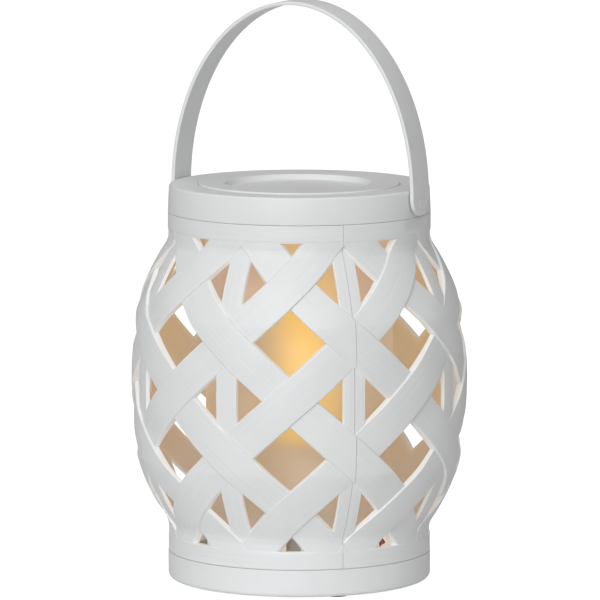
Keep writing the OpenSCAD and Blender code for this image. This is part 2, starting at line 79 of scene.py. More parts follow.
def size_prop(name, description, default):
    """A length in metres."""
    return bpy.props.FloatProperty(name=name, description=description, default=default,
                                   unit="LENGTH", min=0, precision=5)


def colour_prop(name, description, default):
    """A linear colour."""
    return bpy.props.FloatVectorProperty(name=name, description=description, default=default,
                                         subtype="COLOR", size=3, min=0, max=1)


class LanternSizes(bpy.types.PropertyGroup):
    """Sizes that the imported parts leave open"""

    neck_r: size_prop("Neck radius", "Radius of the shell's straight necks", 55.4 * MM)
    bow_r: size_prop("Bow radius", "Radius of the barrel's bow, seen from the side", 300 * MM)
    shoulder_top: size_prop("Shoulder top", "Mid height to the top of the shoulder", 31 * MM)
    shoulder_foot: size_prop("Shoulder foot", "Mid height to the foot of the shoulder", 59 * MM)
    shoulder_r: size_prop("Shoulder foot radius", "Radius at the shoulder's foot", 56.2 * MM)
    shoulder_bulge: size_prop("Shoulder bulge", "Bulge of the shoulder over a cone", 1.1 * MM)
    lattice_z: size_prop("Lattice height", "Height of the middle row of crossings", 84.9 * MM)
    cell_h: size_prop("Cell height", "Height of half a lattice cell", 24.1 * MM)
    band_top: size_prop("Top band", "Lower edge of the top band", 149.0 * MM)
    band_bottom: size_prop("Bottom band", "Upper edge of the bottom band", 20 * MM)
    wall: size_prop("Wall", "Thickness of the lattice wall", 3 * MM)
    relief: size_prop("Relief", "How far a strip dips where it passes under another", 1.1 * MM)
    upright_w: size_prop("Upright width", "Width of the upright strips", 9.4 * MM)
    strap_w: size_prop("Strap width", "Width of the bail's strap", 16 * MM)
    strap_t: size_prop("Strap thickness", "Thickness of the bail's strap", 1.8 * MM)
    strip_share: bpy.props.FloatProperty(
        name="Strip share", description="Half width of a slanting strip, in lattice cells",
        default=0.42, min=0.3, max=0.48)


class LanternColours(bpy.types.PropertyGroup):
    """Colours of the lantern's materials"""

    plastic: colour_prop("Plastic", "White plastic of the shell", (0.80, 0.81, 0.81))
    frost: colour_prop("Frosted cylinder", "Tint of the frosted cylinder", (0.83, 0.73, 0.64))
    # Painted highlight: a warm light given to the rims of the lattice's openings to brighten them
    rim: colour_prop("Rim glow", "Light that the openings' rims pass on", (0.11, 0.095, 0.08))
    glow: colour_prop("Glow", "Colour of the flame's light", (1.0, 0.52, 0.14))
    glow_strength: bpy.props.FloatProperty(
        name="Glow strength", description="Brightness of the flame lens", default=0.3, min=0)


# ---------------------------------------------------------------- shapes

SHARP = math.radians(35)  # edges that turn by more than this aren't smoothed
NECK_RAMP = 2.5 * MM  # height over which the shoulder's foot eases into the neck


class Shape:
    """Gathers closed surfaces, worked out as whole arrays, into one mesh."""

    def __init__(self):
        self.points, self.uvs, self.marks, self.faces, self.count = [], [], [], [], 0

    def add(self, points, quads, others=(), uv=None, marks=None):
        """Adds one closed surface and turns its faces outwards by the sign of its volume.

        Marks are two shares for each point: is it on an opening's rim, and is it inside.
        """
        points = points.reshape(-1, 3)
        a, b, c, d = (points[quads[:, k]] for k in range(4))
        volume = np.einsum("ij,ij->i", a, np.cross(b, c) + np.cross(c, d)).sum()
        for face in others:
            corner = points[face]
            volume += (corner[0] * np.cross(corner[1:-1], corner[2:])).sum()
        faces = quads.tolist() + [list(f) for f in others]
        if volume < 0:
            faces = [f[::-1] for f in faces]
        blank = np.zeros((len(points), 2))
        self.points.append(points)
        self.uvs.append(blank if uv is None else uv.reshape(-1, 2))
        self.marks.append(blank if marks is None else marks.reshape(-1, 2))
        self.faces += [[i + self.count for i in f] for f in faces]
        self.count += len(points)

    def tube(self, grid, uv=None, marks=None):
        """A grid closed round its second axis and capped at both ends of its first."""
        rows, cols = grid.shape[:2]
        first = list(range(cols))
        last = list(range(rows * cols - 1, (rows - 1) * cols - 1, -1))
        self.add(grid, grid_quads(rows, cols, wrap_cols=True), [first, last], uv, marks)

    def ring(self, grid):
        """A grid closed round both of its axes."""
        self.add(grid, grid_quads(*grid.shape[:2], wrap_rows=True, wrap_cols=True))

    def turned(self, grid, marks=None):
        """A grid closed round its first axis, whose first and last columns are poles."""
        rows, cols = grid.shape[0], grid.shape[1] - 2
        points = np.concatenate([grid[:, 1:-1].reshape(-1, 3), grid[:1, 0], grid[:1, -1]])
        near = np.arange(rows) * cols
        after = np.roll(near, -1)
        low, high = np.full(rows, rows * cols), np.full(rows, rows * cols + 1)
        fans = np.concatenate([np.stack([low, after, near], 1),
                               np.stack([high, near + cols - 1, after + cols - 1], 1)])
        if marks is not None:
            marks = np.concatenate([marks[:, 1:-1].reshape(-1, 2), marks[:1, 0], marks[:1, -1]])
        self.add(points, grid_quads(rows, cols, wrap_rows=True), fans.tolist(), marks=marks)

    def stud(self, x, y, radius, z0, z1, sides=24):
        """A plain round pillar."""
        w = np.linspace(0, TAU, sides, endpoint=False)
        ring = np.stack([x + radius * np.cos(w), y + radius * np.sin(w)], 1)
        self.tube(np.stack([np.c_[ring, np.full(sides, z)] for z in (z0, z1)]))

    def to_object(self, name, body, material):
        """Makes the mesh object, shaded smooth except at edges sharper than SHARP."""
        mesh = bpy.data.meshes.new(name)
        points = np.concatenate(self.points)
        mesh.from_pydata(points.tolist(), [], self.faces)
        layer = mesh.uv_layers.new(name="strip")
        corner = np.zeros(len(mesh.loops), np.int32)
        mesh.loops.foreach_get("vertex_index", corner)
        layer.data.foreach_set("uv", np.concatenate(self.uvs)[corner].astype(np.float32).ravel())
        marks = np.concatenate(self.marks).astype(np.float32)
        for column, mark in zip(marks.T, ("rim", "inside")):
            layer = mesh.attributes.new(mark, "FLOAT", "POINT")
            layer.data.foreach_set("value", np.ascontiguousarray(column))
        mesh.shade_smooth()
        mesh.set_sharp_from_angle(angle=SHARP)
        mesh.materials.append(material)
        piece = bpy.data.objects.new(name, mesh)
        bpy.context.scene.collection.objects.link(piece)
        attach(piece, body)
        return piece


def grid_quads(rows, cols, wrap_rows=False, wrap_cols=False):
    """Corner numbers of the squares between neighbouring points of a grid."""
    i = np.arange(rows if wrap_rows else rows - 1)[:, None]
    j = np.arange(cols if wrap_cols else cols - 1)[None, :]
    i1, j1 = (i + 1) % rows, (j + 1) % cols
    quads = np.stack([i * cols + j, i1 * cols + j, i1 * cols + j1, i * cols + j1], -1)
    return quads.reshape(-1, 4)


def smooth_step(x, low, high):
    """0 below low, 1 above high and a smooth cubic between them."""
    t = np.clip((x - low) / (high - low), 0, 1)
    return t * t * (3 - 2 * t)


def arc(cx, cy, radius, a0, a1, n=5):
    """Points on a circle's arc from angle a0 to a1, in degrees."""
    w = np.radians(np.linspace(a0, a1, n))
    return np.stack([cx + radius * np.cos(w), cy + radius * np.sin(w)], 1)


def around(profile, angles):
    """Carries a profile of (radius, height) round the axis: x = r cos w, y = r sin w."""
    r, z = profile[None, :, 0], profile[None, :, 1]
    w = angles[:, None]
    return np.stack([r * np.cos(w), r * np.sin(w), z + 0 * w], -1)


def flattened(grid, low=0.0, full=0.01):
    """Cuts a round surface flat at both ends of X: r = min(r, flat / |cos w|).

    The cut starts at the height low and is whole from the height full.
    """
    w = np.arctan2(grid[..., 1], grid[..., 0])
    r = np.hypot(grid[..., 0], grid[..., 1])
    limit = FLAT_X / np.maximum(np.abs(np.cos(w)), 0.2)
    r += (np.minimum(r, limit) - r) * smooth_step(grid[..., 2], low, full)
    return np.stack([r * np.cos(w), r * np.sin(w), grid[..., 2]], -1)


def shell_radius(z, size):
    """Outside radius of the shell: a shallow bow, then a bulging shoulder, then the neck."""
    d = np.abs(z - SHELL_MID)
    r0 = BARREL_R - size.shoulder_top ** 2 / (2 * size.bow_r)
    t = (d - size.shoulder_top) / (size.shoulder_foot - size.shoulder_top)
    shoulder = r0 + (size.shoulder_r - r0) * t + 4 * size.shoulder_bulge * t * (1 - t)
    neck = size.shoulder_r - (size.shoulder_r - size.neck_r) * (d - size.shoulder_foot) / NECK_RAMP
    return np.where(d <= size.shoulder_top, BARREL_R - d ** 2 / (2 * size.bow_r),
                    np.where(d <= size.shoulder_foot, shoulder, np.maximum(size.neck_r, neck)))


# ---------------------------------------------------------------- woven panels

SEAM = math.radians(0.09) / CELL  # half of the hairline between two panels, in cells
JOG = 0.022  # sidestep of that hairline where strips cross, in cells
REACH = 2.72  # how far strips run on under the bands, in cells
WEAVE = 1.8  # how square the weave's wave is
EDGE = 0.06  # rounding of a strip's edges, as a share of its half width
CROWN = 0.00015  # how much a strip's face falls from its middle
FURROW = 0.000018  # depth of the furrows along a strip
DRAFT = 0.05  # how much wider a strip is inside, as a share of its width
BEVEL = 0.08  # how much more it widens inside beside the bands
LIP = 0.00012  # half of the hairline at the shell's seams
CLEAR = 0.00003  # what keeps crossing faces from lying in one another
SINK = 0.00010  # how far a strip lies below a band that it runs under
RIPPLE = 0.00006  # slow unevenness of a strip's height
WIDENS = (1.9, 2.3)  # rows, in cells from the middle, where BEVEL comes in
FLATTENS = (2.35, 2.62)  # rows where the weave fades out below the bands
FLAT_LOW = 0.1504  # lower end of the flats beside the bail


def strip_section(half=0):
    """Cross-section of a strip as shares of its half width: place, depth and is it outside.

    A face, rounded edges, then sides that widen towards the inside. Half 1 or -1 keeps
    only what lies right or left of the middle.
    """
    top = np.linspace(-1 + EDGE, 1 - EDGE, 33)
    bend = np.radians(np.array([25, 50, 75]))
    right = np.c_[1 - EDGE + EDGE * np.sin(bend), EDGE * (1 - np.cos(bend))]
    left = right[::-1] * (-1, 1)
    face = np.concatenate([left, np.c_[top, 0 * top], right])
    inner = np.linspace(1 + DRAFT, -1 - DRAFT, 7)
    share = np.r_[face[:, 0], inner]
    depth = np.r_[face[:, 1], np.zeros(7)]
    outer = np.r_[np.ones(len(face), bool), np.zeros(7, bool)]
    keep = share * half > -1e-9
    return share[keep], depth[keep], outer[keep]


def on_shell(u, v, depth, outer, level, azimuth, size, skin):
    """Places lattice coordinates: w = azimuth + u cell, z = middle + v cell height,
    r = shell radius + level - depth outside, shell radius - wall + skin inside."""
    z = size.lattice_z + v * size.cell_h
    w = azimuth + u * CELL
    radius = shell_radius(z, size)
    r = np.where(outer, radius + level - depth, radius - size.wall + skin)
    return np.stack([r * np.cos(w), r * np.sin(w), z], -1)


def reeding(across, along, phase):
    """Shallow lengthwise furrows of two widths that wander a little along the strip."""
    drift = 0.5 * np.sin(along / (31 * MM) + phase) + 0.3 * np.sin(along / (11 * MM) + 2 * phase)
    narrow = np.sin(across * TAU / (1.9 * MM) + phase + drift)
    wide = np.sin(across * TAU / (3.3 * MM) + 2 * phase - drift)
    return FURROW * (1 - 0.5 * narrow - 0.5 * wide)


def woven_strip(shape, slope, c, azimuth, size):
    """A slanting strip v = slope u + c, cut at the panel's seams and under the bands.

    Its level follows the weave: level = relief (F - 1) / 2 with
    F = -slope tanh(k cos(pi a)) / tanh(k), a the place along the strip, so it is over one
    crossing and under the next, and it fades to flush below the bands.
    """
    share, depth, outer = strip_section()
    half = size.strip_share
    cell_w = BARREL_R * CELL
    step = math.hypot(cell_w, size.cell_h)      # length of a strip in one cell
    half_m = half * cell_w * size.cell_h / step  # its half width in metres
    limit = 2 - SEAM
    ends = np.stack([slope * (-REACH - c - half * share), slope * (REACH - c - half * share)])
    u0 = np.maximum(JOG - limit, ends.min(0))
    u1 = np.maximum(np.minimum(JOG + limit, ends.max(0)), u0 + 1e-4)
    t = np.linspace(0, 1, 120)[:, None]
    u = u0 + t * (u1 - u0)
    share = share * (1 + BEVEL * smooth_step(np.abs(slope * u + c), *WIDENS) * ~outer)
    v = slope * u + c + half * share
    a = u + slope * half * share / 2
    wave = -slope * np.tanh(WEAVE * np.cos(np.pi * a)) / math.tanh(WEAVE)
    flush = smooth_step(np.abs(v), *FLATTENS)
    level = size.relief * (wave - 1) / 2 * (1 - flush) - (SINK + CLEAR * slope) * flush
    phase = 2.3 * c + azimuth + slope
    ripple = RIPPLE * np.sin(5.1 * a + phase) * np.sin(3.3 * a - c)
    furrows = reeding(half_m * share, a * step, phase) * (np.abs(share) < 1 - EDGE)
    drop = depth * half_m + CROWN * (share * outer) ** 2 + furrows * outer
    grid = on_shell(u, v, drop, outer, level + ripple * (1 - flush), azimuth, size,
                    CLEAR * (1 + slope))
    uv = np.stack([a * step + 0.31 * phase, half_m * share + 0 * u], -1)
    # This rim share masks the painted highlight on the openings' rims
    rim = edge_share(share) * (1 - smooth_step(np.abs(np.cos(np.pi * a)), 0.65, 0.9))
    shape.tube(grid, uv, np.stack([rim, ~outer + 0 * u], -1))


def edge_share(share):
    """0 on a strip's face, rising to 1 over its rounded edges and on its sides."""
    return np.clip((np.abs(share) - 1 + EDGE) / EDGE, 0, 1)


def upright_strip(shape, centre, half, azimuth, size):
    """An upright strip, lowest in the weave: u = centre + share half width / cell width.

    Half 1 or -1 gives the half that lies right or left of a seam.
    """
    share, depth, outer = strip_section(half)
    v = np.linspace(-REACH, REACH, 130)[:, None] + 0 * share
    half_m = size.upright_w / 2
    radius = shell_radius(size.lattice_z + v * size.cell_h, size)
    u = centre + half * SEAM + share * half_m / radius / CELL
    flush = smooth_step(np.abs(v), 2.5, 2.66)
    level = -(size.relief + 2 * SINK) * (1 - flush) - 1.8 * SINK * flush
    along = v * size.cell_h
    furrows = 2 * reeding(share * half_m, along, centre + azimuth) * (np.abs(share) < 1 - EDGE)
    drop = depth * half_m + CROWN / 2 * (share * outer) ** 2 + furrows * outer
    grid = on_shell(u, v, drop, outer, level, azimuth, size, 3 * CLEAR)
    uv = np.stack([along + 0.7 + 0.3 * centre + azimuth, share * half_m + 0 * v], -1)
    # This rim share masks the painted highlight on the openings' rims
    rim = edge_share(share) * smooth_step(np.cos(np.pi * v), 0.0, 0.5)
    shape.tube(grid, uv, np.stack([rim, ~outer + 0 * v], -1))


def band(shape, azimuth, size, top):
    """The plain band above or below the lattice, r = shell radius.

    Its edge has small teeth between the strips: v = min(edge, 3 - share + |u - even|).
    """
    u = np.linspace(-2 + SEAM, 2 - SEAM, 241)[:, None]
    edge = ((size.band_top if top else size.band_bottom) - size.lattice_z) / size.cell_h
    tooth = 3 - size.strip_share + np.abs((u + 1) % 2 - 1)
    v_edge = np.minimum(abs(edge), tooth) * np.sign(edge)
    z_end = PANEL_HIGH.z - LIP if top else PANEL_LOW.z + LIP
    v_end = (z_end - size.lattice_z) / size.cell_h
    v_flat = (FLAT_LOW - size.lattice_z) / size.cell_h
    if top:
        above = v_flat + (v_end - v_flat) * np.array([0, 0.1, 0.2, 0.3, 0.4, 0.7, 0.95, 1])
        outer_v = np.concatenate([v_edge, v_edge + 0.01, above + 0 * u], 1)
    else:
        outer_v = v_edge + (v_end - v_edge) * np.array([0, 0.04, 0.25, 0.5, 0.75, 0.96, 1])
    inner_v = v_end + (v_edge - v_end) * np.linspace(0, 1, 5)
    v = np.concatenate([outer_v, inner_v], 1)
    outer = np.arange(v.shape[1]) < outer_v.shape[1]
    depth = np.where(np.arange(v.shape[1]) == outer_v.shape[1] - 1, 2 * LIP, 0)
    depth[0] = LIP
    # This rim share masks the painted highlight on the band's edges beside the openings
    rim = np.zeros(v.shape)
    rim[:, [0, -1]] = smooth_step(np.abs((u + 1) % 2 - 1), 0.4, 0.6)
    grid = on_shell(u + 0 * v, v, depth, outer, 0 * v, azimuth, size, 4 * CLEAR)
    uv = np.stack([u * CELL * size.neck_r + azimuth + 0 * v, v * size.cell_h + edge], -1)
    shape.tube(flattened(grid, FLAT_LOW, FLAT_LOW + 2.2 * MM), uv,
               np.stack([rim, ~outer + 0 * v], -1))


def flange(shape, azimuth, z0, z1):
    """The screw flange inside a panel: a flat ring sector."""
    w = azimuth + np.linspace(-2 + SEAM, 2 - SEAM, 61) * CELL
    r0, r1 = 45 * MM, 53 * MM
    shape.tube(around(np.array([[r0, z0], [r1, z0], [r1, z1], [r0, z1]]), w))


def boss(shape, azimuth, z0, z1):
    """A screw boss on the circle of the shell's screws."""
    shape.stud(SCREW_R * math.cos(azimuth), SCREW_R * math.sin(azimuth), BOSS_R, z0, z1)


class LANTERN_OT_panels(bpy.types.Operator):
    """Weave the four quarter panels of the barrel"""

    bl_idname = "lantern.panels"
    bl_label = "Woven Panels"

    def execute(self, context):
        size = context.scene.lantern_sizes
        for name, degrees in PANELS.items():
            azimuth = math.radians(degrees)
            shape = Shape()
            for c in (-3, -1, 1, 3):
                woven_strip(shape, 1, c, azimuth, size)
                woven_strip(shape, -1, c, azimuth, size)
            for centre, half in ((-2, 1), (0, 0), (2, -1)):
                upright_strip(shape, centre, half, azimuth, size)
            band(shape, azimuth, size, True)
            band(shape, azimuth, size, False)
            flange(shape, azimuth, PANEL_HIGH.z - size.wall, PANEL_HIGH.z - LIP)
            flange(shape, azimuth, PANEL_LOW.z + LIP, PANEL_LOW.z + size.wall)
            for side in (-1, 1):
                boss(shape, azimuth + side * CELL, PANEL_LOW.z + 2 * LIP,
                     PANEL_LOW.z + 2 * size.wall)
            piece = shape.to_object("woven_" + name, "lantern",
                                    woven_plastic(context))
            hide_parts("shell_panel_" + name)
        return {"FINISHED"}


# ---------------------------------------------------------------- cap, lid, bail


def notch_angles(centre, spread):
    """Angles round a turned piece, closer together near a small notch."""
    coarse = np.arange(0, 360, 0.75)
    away = np.abs((coarse - centre + 180) % 360 - 180) > spread
    fine = centre + np.arange(-spread, spread + 0.01, 0.12)
    return np.radians(np.sort(np.r_[coarse[away], fine % 360]))


def pressed_triangle(grid, centre, apex_r, base_r, half_w, depth):
    """Sinks the top inside a triangle whose tip is at apex_r and whose base is at base_r."""
    w = np.radians(centre)
    along = grid[..., 0] * math.cos(w) + grid[..., 1] * math.sin(w)
    across = -grid[..., 0] * math.sin(w) + grid[..., 1] * math.cos(w)
    t = (along - apex_r) / (base_r - apex_r)
    inside = (t > 0) & (t < 1) & (np.abs(across) < half_w * t)
    grid[..., 2] -= np.where(inside, depth, 0)
    return grid


DIMPLE = 211  # azimuth of the grip scoop in the lid, in degrees
DIMPLE_SPAN = 11  # half of the angle that it spans
NOTCH = 24  # azimuth of the lifting notch in the cap ring
LEDGE_LOW, LEDGE_HIGH = 160.2 * MM, 162.4 * MM  # the ledge that the lid rests on
BEND = 0.35 * MM  # rounding of the strap's edges
PIN_SEAT_R, PIN_SEAT = 2.36 * MM, 0.3 * MM  # recess round a pin's head, and its depth


class LANTERN_OT_cap(bpy.types.Operator):
    """Turn the cap ring, with its flats for the bail and its lifting notch"""

    bl_idname = "lantern.cap"
    bl_label = "Cap Ring"

    def execute(self, context):
        size = context.scene.lantern_sizes
        low, high = CAP_LOW.z, CAP_HIGH.z
        r0, r1 = size.neck_r, size.neck_r - 0.5 * MM
        wall, plate = 2.4 * MM, high - 2.3 * MM
        bottom = arc(r0 - 0.35 * MM, low + 0.35 * MM, 0.35 * MM, -90, 0)
        top = arc(r1 - 1.0 * MM, high - 1.0 * MM, 1.0 * MM, 0, 90, 7)
        land_r = np.r_[np.linspace(r1 - 1.6 * MM, 46.5 * MM, 6),
                       np.linspace(46.2 * MM, HOLE_R + 0.25 * MM, 20)]
        land = np.stack([land_r, np.full(len(land_r), high)], 1)
        rim = arc(HOLE_R + 0.2 * MM, high - 0.2 * MM, 0.2 * MM, 90, 180, 4)[1:]
        inside = np.array([[HOLE_R, LEDGE_HIGH], [40 * MM, LEDGE_HIGH], [40 * MM, LEDGE_LOW],
                           [44.9 * MM, LEDGE_LOW], [44.9 * MM, plate], [r0 - wall, plate],
                           [r0 - wall, low]])
        profile = np.concatenate([bottom, top, land, rim, inside])
        grid = flattened(around(profile, notch_angles(NOTCH, 3.0)))
        top_face = grid[:, :len(bottom) + len(top) + len(land) + len(rim)]
        upper = top_face[..., 2] > high - 1.2 * MM
        sunk = pressed_triangle(top_face.copy(), NOTCH, HOLE_R - 1.5 * MM, HOLE_R + 2.0 * MM,
                                2.1 * MM, 1.5 * MM)
        top_face[...] = np.where(upper[..., None], sunk, top_face)
        shape = Shape()
        shape.ring(grid)
        for degrees in range(0, 360, 45):
            boss(shape, math.radians(degrees + 22.5), low + LIP, plate)
        piece = shape.to_object("turned_cap_ring", "lantern",
                                smooth_plastic(context))
        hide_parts("cap_ring")
        return {"FINISHED"}


class LANTERN_OT_lid(bpy.types.Operator):
    """Turn the dished lid with its grip scoop"""

    bl_idname = "lantern.lid"
    bl_label = "Lid"

    def execute(self, context):
        low, top, r = LID_LOW.z, LID_HIGH.z, LID_HIGH.x
        dish, depth, plate, skirt = 30.2 * MM, 2.2 * MM, 1.9 * MM, 1.8 * MM
        slope_r, slope_w = dish - 1.6 * MM, 2.5 * MM
        floor_r = np.linspace(0, slope_r, 16)
        floor_z = top - depth - 0.0003 * (1 - (floor_r / dish) ** 2)
        t = np.linspace(0, 1, 23)[1:]
        slope = np.stack([slope_r + slope_w * t, top - depth * (1 - t * t * (3 - 2 * t))], 1)
        land = np.stack([np.linspace(dish + 2 * MM, r - 1.2 * MM, 6), np.full(6, top)], 1)
        edge = arc(r - 0.6 * MM, top - 0.6 * MM, 0.6 * MM, 90, 0, 6)
        under = np.array([[r, low + 0.3 * MM], [r - 0.3 * MM, low], [r - skirt, low],
                          [r - skirt, top - plate], [dish + 2.6 * MM, top - plate],
                          [dish + 0.6 * MM, top - depth - plate], [0, top - depth - plate]])
        profile = np.concatenate([np.stack([floor_r, floor_z], 1), slope, land, edge, under])
        profile_row = np.arange(len(profile))
        angles = notch_angles(DIMPLE, DIMPLE_SPAN + 1.0)
        grid = around(profile, angles)
        scoop = (((profile[None, :, 0] - dish + 0.3 * MM) / (1.5 * MM)) ** 2
                 + ((angles[:, None] - math.radians(DIMPLE)) / math.radians(DIMPLE_SPAN)) ** 2)
        scoop = smooth_step(1 - scoop, 0, 0.45) * (profile_row < len(profile) - len(under))
        grid[..., 2] -= 1.2 * MM * scoop
        shape = Shape()
        # The scoop's share goes into the rim mark, which the lid's material uses to paint shade
        # into the scoop
        shape.turned(grid, np.stack([scoop, 0 * scoop], -1))
        piece = shape.to_object("turned_lid", "lid", lid_plastic(context))
        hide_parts("lid")
        return {"FINISHED"}


def bail_path(size):
    """Rows along the strap: centre point, outward normal, half width and drop below the arch.

    The arch is half an ellipse (a cos w, b sin w); below it the strap runs straight down
    and its half width follows the round end, sqrt(R^2 - d^2).
    """
    radius = size.strap_w / 2
    arch_z = PIVOT_Z + 3.2 * MM
    a = BAIL_HIGH.x - size.strap_t / 2
    b = BAIL_HIGH.z - size.strap_t / 2 - arch_z
    pin = np.linspace(PIVOT_Z - 2.9 * MM, PIVOT_Z + 2.9 * MM, 47)
    below = np.r_[arch_z - radius * np.sin(np.radians(np.linspace(89.2, 60, 9))), pin]
    below = np.sort(below[below < arch_z - 1e-5])
    w = np.radians(np.linspace(0, 180, 181))
    right = np.stack([np.full(len(below), a), below], 1)
    arch = np.stack([a * np.cos(w), arch_z + b * np.sin(w)], 1)
    left = np.stack([np.full(len(below), -a), below[::-1]], 1)
    normal = np.concatenate([np.tile([1.0, 0.0], (len(below), 1)),
                             np.stack([b * np.cos(w), a * np.sin(w)], 1),
                             np.tile([-1.0, 0.0], (len(below), 1))])
    normal /= np.linalg.norm(normal, axis=1)[:, None]
    path = np.concatenate([right, arch, left])
    drop = np.maximum(arch_z - path[:, 1], 0)
    half = np.sqrt(np.maximum(radius ** 2 - drop ** 2, (0.1 * MM) ** 2))
    return path, normal, half, drop, radius


class LANTERN_OT_bail(bpy.types.Operator):
    """Bend the strap bail with its round ends and sunk pin holes"""

    bl_idname = "lantern.bail"
    bl_label = "Bail"

    def execute(self, context):
        size = context.scene.lantern_sizes
        path, normal, half, drop, radius = bail_path(size)
        edge = 0.12 * np.linspace(0, 0.9, 7)
        side = np.r_[-1 + edge, np.linspace(-0.88, 0.88, 61), (1 - edge)[::-1]]
        y = half[:, None] * side[None, :]
        from_edge = np.where(drop[:, None] > 0, radius - np.hypot(drop[:, None], y),
                             half[:, None] - np.abs(y))
        inward = np.clip(BEND - from_edge, 0, BEND)
        fall = BEND - np.sqrt(np.maximum(BEND ** 2 - inward ** 2, 0))
        crown = CROWN * (1 - (y / radius) ** 2)
        to_pin = np.hypot(path[:, 1:2] - PIVOT_Z, y)
        pin_hole = np.where((to_pin < PIN_SEAT_R) & (drop[:, None] > 0), PIN_SEAT, 0)
        length = np.r_[0, np.cumsum(np.hypot(*np.diff(path, axis=0).T))][:, None]
        furrows = reeding(y, length, 0.7) * (fall == 0)
        outer = size.strap_t / 2 - CROWN - fall + crown - furrows - pin_hole
        inner = -size.strap_t / 2 + fall
        offset = np.concatenate([outer, inner[:, ::-1]], 1)
        across = np.concatenate([y, y[:, ::-1]], 1)
        x = path[:, :1] + normal[:, :1] * offset
        z = path[:, 1:] + normal[:, 1:] * offset
        uv = np.stack([length + 0 * x, across], -1)
        shape = Shape()
        shape.tube(np.stack([x, across, z], -1), uv)
        piece = shape.to_object("strap_bail", "bail", woven_plastic(context))
        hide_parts("bail_handle")
        return {"FINISHED"}


class LANTERN_OT_pins(bpy.types.Operator):
    """Turn the pivot pins with their softly rounded heads"""

    bl_idname = "lantern.pins"
    bl_label = "Pivot Pins"

    def execute(self, context):
        x0, x1 = PIN_LOW.x, PIN_HIGH.x
        head, under = (PIN_HIGH.z - PIN_LOW.z) / 2, x1 - 0.8 * MM
        edge = arc(head - 0.45 * MM, x1 - 0.45 * MM, 0.45 * MM, 90, 0, 6)
        shank = [[SHANK_R, under], [SHANK_R, x0 + 0.3 * MM], [SHANK_R - 0.3 * MM, x0], [0, x0]]
        profile = np.concatenate([[[0, x1]], edge, [[head, under]], shank])
        w = np.linspace(0, TAU, 48, endpoint=False)
        turned = around(profile, w)
        for name, sign in (("right", 1), ("left", -1)):
            grid = np.stack([sign * turned[..., 2], turned[..., 0],
                             PIVOT_Z + turned[..., 1]], -1)
            shape = Shape()
            shape.turned(grid)
            piece = shape.to_object("pin_" + name, "lantern",
                                    smooth_plastic(context))
            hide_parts("pivot_pin_" + name)
        return {"FINISHED"}


# ---------------------------------------------------------------- light


class LANTERN_OT_light(bpy.types.Operator):
    """Turn the frosted cylinder and the glowing flame lens"""

    bl_idname = "lantern.light"
    bl_label = "Frosted Cylinder and Flame"

    def execute(self, context):
        r, wall = TUBE_HIGH.x, 1.5 * MM
        z0, z1, bend = TUBE_LOW.z, TUBE_HIGH.z, 2.5 * MM
        profile = np.concatenate([
            arc(r - 0.3 * MM, z0 + 0.3 * MM, 0.3 * MM, -90, 0, 3),
            np.stack([np.full(20, r), np.linspace(z0 + 2 * MM, z1 - bend - MM, 20)], 1),
            arc(r - bend, z1 - bend, bend, 0, 90, 7),
            np.stack([np.linspace(r - bend - MM, 0, 8), np.full(8, z1)], 1)])
        inner = np.concatenate([
            np.stack([np.linspace(0, r - bend - MM, 8), np.full(8, z1 - wall)], 1),
            arc(r - bend, z1 - bend, bend - wall, 90, 0, 4),
            np.stack([np.full(10, r - wall), np.linspace(z1 - bend - MM, z0, 10)], 1)])
        shape = Shape()
        w = np.linspace(0, TAU, 128, endpoint=False)
        cup(shape, profile, inner, w)
        piece = shape.to_object("frosted_cylinder", "lantern",
                                frosted(context))
        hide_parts("diffuser")
        flame = Shape()
        flame.turned(flame_grid(w))
        piece = flame.to_object("flame", "lantern", flame_resin(context))
        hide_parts("flame_lens")
        return {"FINISHED"}


def flame_grid(w):
    """The flame: r = foot (1 - t)^0.9 (1 + 1.5 t) (1 + 0.04 cos 5w sin pi t), t from 0 to 1."""
    foot = 9.2 * MM
    t = np.linspace(0, 1, 33)
    z = LENS_LOW.z + (LENS_HIGH.z - LENS_LOW.z) * t
    r = foot * (1 - t) ** 0.9 * (1 + 1.5 * t)
    wave = 1 + 0.04 * np.cos(5 * w)[:, None] * np.sin(np.pi * t)[None, :]
    grid = around(np.stack([np.r_[0, r], np.r_[LENS_LOW.z, z]], 1), w)
    grid[:, 1:, :2] *= wave[..., None] * 0.96
    return grid


def cup(shape, outer, inner, w):
    """A cup closed at its top: outer profile up to the axis, inner profile back down."""
    out_grid, in_grid = around(outer, w), around(inner, w)
    rows, na, nb = len(w), len(outer) - 1, len(inner) - 1
    points = np.concatenate([out_grid[:, :-1].reshape(-1, 3), in_grid[:, 1:].reshape(-1, 3),
                             out_grid[:1, -1], in_grid[:1, 0]])
    shift, pole = rows * na, rows * (na + nb)
    quads = [grid_quads(rows, na, wrap_rows=True), grid_quads(rows, nb, wrap_rows=True) + shift]
    out_row, in_row = np.arange(rows) * na, np.arange(rows) * nb + shift
    out_next, in_next = np.roll(out_row, -1), np.roll(in_row, -1)
    rim = np.stack([out_row, in_row + nb - 1, in_next + nb - 1, out_next], 1)
    top = np.stack([out_row + na - 1, out_next + na - 1, np.full(rows, pole)], 1)
    roof = np.stack([in_row, np.full(rows, pole + 1), in_next], 1)
    inside = np.arange(len(points)) >= shift
    inside[pole] = False
    shape.add(points, np.concatenate([*quads, rim]), np.concatenate([top, roof]).tolist(),
              marks=np.stack([0 * inside, inside], -1))


# ---------------------------------------------------------------- materials


def put(tree, kind, inputs=None, **settings):
    """Adds a node, sets its properties and feeds its inputs with values or sockets."""
    node = tree.nodes.new(kind)
    for key, value in settings.items():
        setattr(node, key, value)
    feed(node, inputs or {})
    return node


def feed(node, inputs):
    """Feeds a node's inputs with values or with other nodes' sockets."""
    for key, value in inputs.items():
        if isinstance(value, bpy.types.NodeSocket):
            node.id_data.links.new(value, node.inputs[key])
        else:
            node.inputs[key].default_value = value


